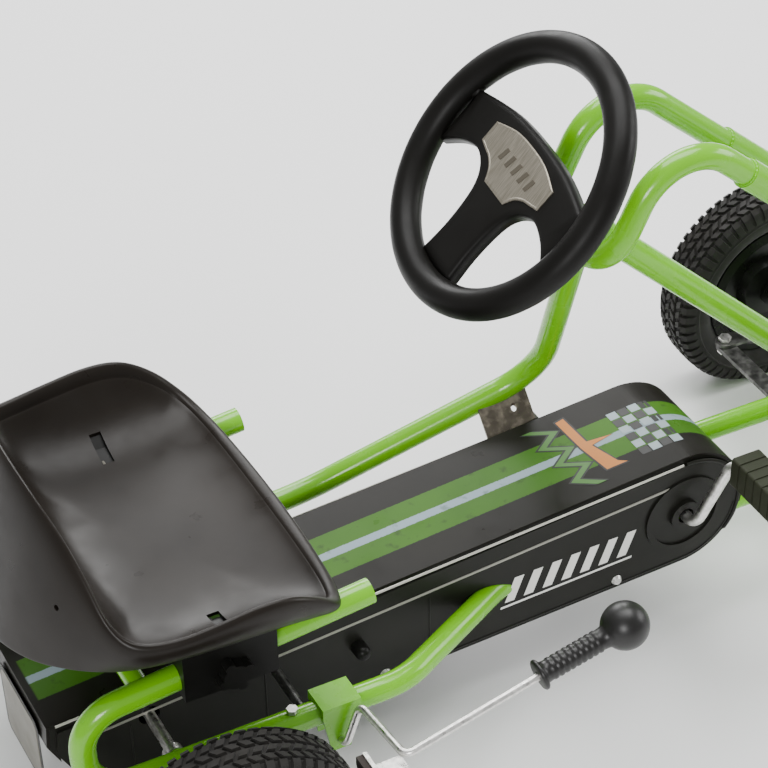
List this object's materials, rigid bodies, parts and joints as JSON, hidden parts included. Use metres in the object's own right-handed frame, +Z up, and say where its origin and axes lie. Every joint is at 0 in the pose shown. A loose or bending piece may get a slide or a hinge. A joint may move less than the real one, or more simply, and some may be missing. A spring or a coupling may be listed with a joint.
{
  "type": "pedal go kart",
  "caption": "Child's pedal go kart with a bent tube frame, closed chain drive, sliding bucket seat, linked front steering and a hand brake on the right.",
  "frame": {"origin": "on the ground under the middle of the kart's length and width", "axes": "+X forward, towards the bumper; +Y to the rider's left; +Z up"},
  "size_m": [1.1895, 0.614, 0.6659],
  "materials": {
    "frame_paint": "gloss powder-coated tube",
    "case_plastic": "satin moulded plastic",
    "cover_plastic": "satin moulded plastic with printed stripes",
    "seat_plastic": "fine-grained moulded plastic",
    "saddle_plastic": "matt moulded plastic",
    "zinc_steel": "bright zinc plating",
    "dark_steel": "black painted steel",
    "bracket_steel": "grey painted sheet",
    "chain_steel": "oiled steel",
    "tyre_rubber": "matt rubber with moulded tread",
    "rim_plastic": "satin moulded plastic",
    "grip_rubber": "soft-touch grip",
    "wheel_plastic": "satin moulded plastic",
    "badge_metal": "satin",
    "bush_plastic": "self-lubricating nylon",
    "pedal_plastic": "coarse anti-slip plastic",
    "pad_rubber": "brake rubber"
  },
  "bodies": {
    "frame": {"left_main_tube": "frame_paint", "right_main_tube": "frame_paint", "left_inner_rail": "frame_paint", "steering_hoop": "frame_paint", "front_leg_tubes": "frame_paint", "steering_column_tube": "frame_paint", "tube_end_plugs": "frame_paint", "front_axle_beam": "frame_paint", "kingpins": "zinc_steel", "front_bumper": "frame_paint", "seat_rail_tie": "frame_paint", "column_support_plate": "frame_paint", "chain_case_left": "case_plastic", "chain_case_right": "case_plastic", "chain_case_cover": "cover_plastic", "case_screws": "zinc_steel", "case_vent_plug": "saddle_plastic", "case_bracket": "bracket_steel", "frame_bolts": "zinc_steel", "case_standoff": "dark_steel", "drive_chain": "chain_steel", "crank_bearing_blocks": "dark_steel", "shaft_bushes": "bush_plastic", "rear_bearing_sleeves": "frame_paint", "brake_bracket": "frame_paint"},
    "seat": {"seat_shell": "seat_plastic", "seat_saddles": "saddle_plastic"},
    "seat_knob_left": {"seat_knob_left": "saddle_plastic"},
    "seat_knob_right": {"seat_knob_right": "saddle_plastic"},
    "rear_axle": {"rear_axle": "zinc_steel", "axle_sprocket": "dark_steel", "rear_right_tyre": "tyre_rubber", "rear_right_rim": "rim_plastic", "rear_right_hub": "rim_plastic"},
    "rear_left_wheel": {"rear_left_tyre": "tyre_rubber", "rear_left_rim": "rim_plastic", "rear_left_hub": "rim_plastic"},
    "crank": {"crank": "zinc_steel", "chainring": "dark_steel"},
    "pedal_left": {"pedal_left": "pedal_plastic"},
    "pedal_right": {"pedal_right": "pedal_plastic"},
    "steering": {"steering_shaft": "zinc_steel", "steering_wheel_rim": "grip_rubber", "steering_wheel_spokes": "wheel_plastic", "steering_badge_plate": "badge_metal"},
    "knuckle_left": {"knuckle_left": "dark_steel"},
    "knuckle_right": {"knuckle_right": "dark_steel"},
    "track_rod": {"track_rod": "dark_steel", "track_rod_bolts": "zinc_steel"},
    "front_left_wheel": {"front_left_tyre": "tyre_rubber", "front_left_rim": "rim_plastic", "front_left_hub": "rim_plastic"},
    "front_right_wheel": {"front_right_tyre": "tyre_rubber", "front_right_rim": "rim_plastic", "front_right_hub": "rim_plastic"},
    "brake_lever": {"brake_lever_rod": "zinc_steel", "brake_grip": "grip_rubber", "brake_pad": "pad_rubber"}
  },
  "joints": [
    {"name": "seat_slide", "type": "slide", "parent": "frame", "child": "seat", "axis": [0.9939, 0, 0.11], "range_m": [-0.02, 0.04]},
    {"name": "seat_knob_left_turn", "type": "hinge", "parent": "seat", "child": "seat_knob_left", "pos_m": [-0.4165, 0.144, 0.24296], "axis": [0, 1, 0], "range_deg": [0, 360]},
    {"name": "seat_knob_right_turn", "type": "hinge", "parent": "seat", "child": "seat_knob_right", "pos_m": [-0.4165, -0.144, 0.24296], "axis": [0, -1, 0], "range_deg": [0, 360]},
    {"name": "rear_axle_spin", "type": "hinge", "parent": "frame", "child": "rear_axle", "pos_m": [-0.4665, 0, 0.1265], "axis": [0, 1, 0], "continuous": true, "deforming": ["drive_chain"]},
    {"name": "rear_left_wheel_spin", "type": "hinge", "parent": "rear_axle", "child": "rear_left_wheel", "pos_m": [-0.4665, 0.264, 0.1265], "axis": [0, 1, 0], "continuous": true},
    {"name": "crank_spin", "type": "hinge", "parent": "frame", "child": "crank", "pos_m": [0.13078, 0, 0.138], "axis": [0, 1, 0], "continuous": true},
    {"name": "pedal_left_spin", "type": "hinge", "parent": "crank", "child": "pedal_left", "pos_m": [0.0906, 0.154, 0.07114], "axis": [0, 1, 0], "continuous": true},
    {"name": "pedal_right_spin", "type": "hinge", "parent": "crank", "child": "pedal_right", "pos_m": [0.17095, -0.154, 0.20486], "axis": [0, 1, 0], "continuous": true},
    {"name": "steering_turn", "type": "hinge", "parent": "frame", "child": "steering", "pos_m": [-0.0465, 0, 0.558], "axis": [0.7396, 0, -0.673], "range_deg": [-32, 32]},
    {"name": "knuckle_left_turn", "type": "hinge", "parent": "frame", "child": "knuckle_left", "pos_m": [0.4485, 0.195, 0.1265], "axis": [0, 0, 1], "range_deg": [-21, 21]},
    {"name": "knuckle_right_turn", "type": "hinge", "parent": "frame", "child": "knuckle_right", "pos_m": [0.4485, -0.195, 0.1265], "axis": [0, 0, 1], "range_deg": [-21, 21]},
    {"name": "track_rod_pivot", "type": "hinge", "parent": "knuckle_left", "child": "track_rod", "pos_m": [0.3605, 0.195, 0.1], "axis": [0, 0, 1], "range_deg": [-21, 21]},
    {"name": "front_left_wheel_spin", "type": "hinge", "parent": "knuckle_left", "child": "front_left_wheel", "pos_m": [0.4485, 0.256, 0.1265], "axis": [0, 1, 0], "continuous": true},
    {"name": "front_right_wheel_spin", "type": "hinge", "parent": "knuckle_right", "child": "front_right_wheel", "pos_m": [0.4485, -0.256, 0.1265], "axis": [0, 1, 0], "continuous": true},
    {"name": "brake_lever_pull", "type": "hinge", "parent": "frame", "child": "brake_lever", "pos_m": [-0.3115, -0.148, 0.104], "axis": [0, -1, 0], "range_deg": [0, 8]}
  ],
  "couplings": [
    {"joint": "crank_spin", "follows": "rear_axle_spin", "ratio": 0.5},
    {"joint": "knuckle_left_turn", "follows": "steering_turn", "ratio": -0.65},
    {"joint": "knuckle_right_turn", "follows": "steering_turn", "ratio": -0.65},
    {"joint": "track_rod_pivot", "follows": "steering_turn", "ratio": 0.65}
  ]
}
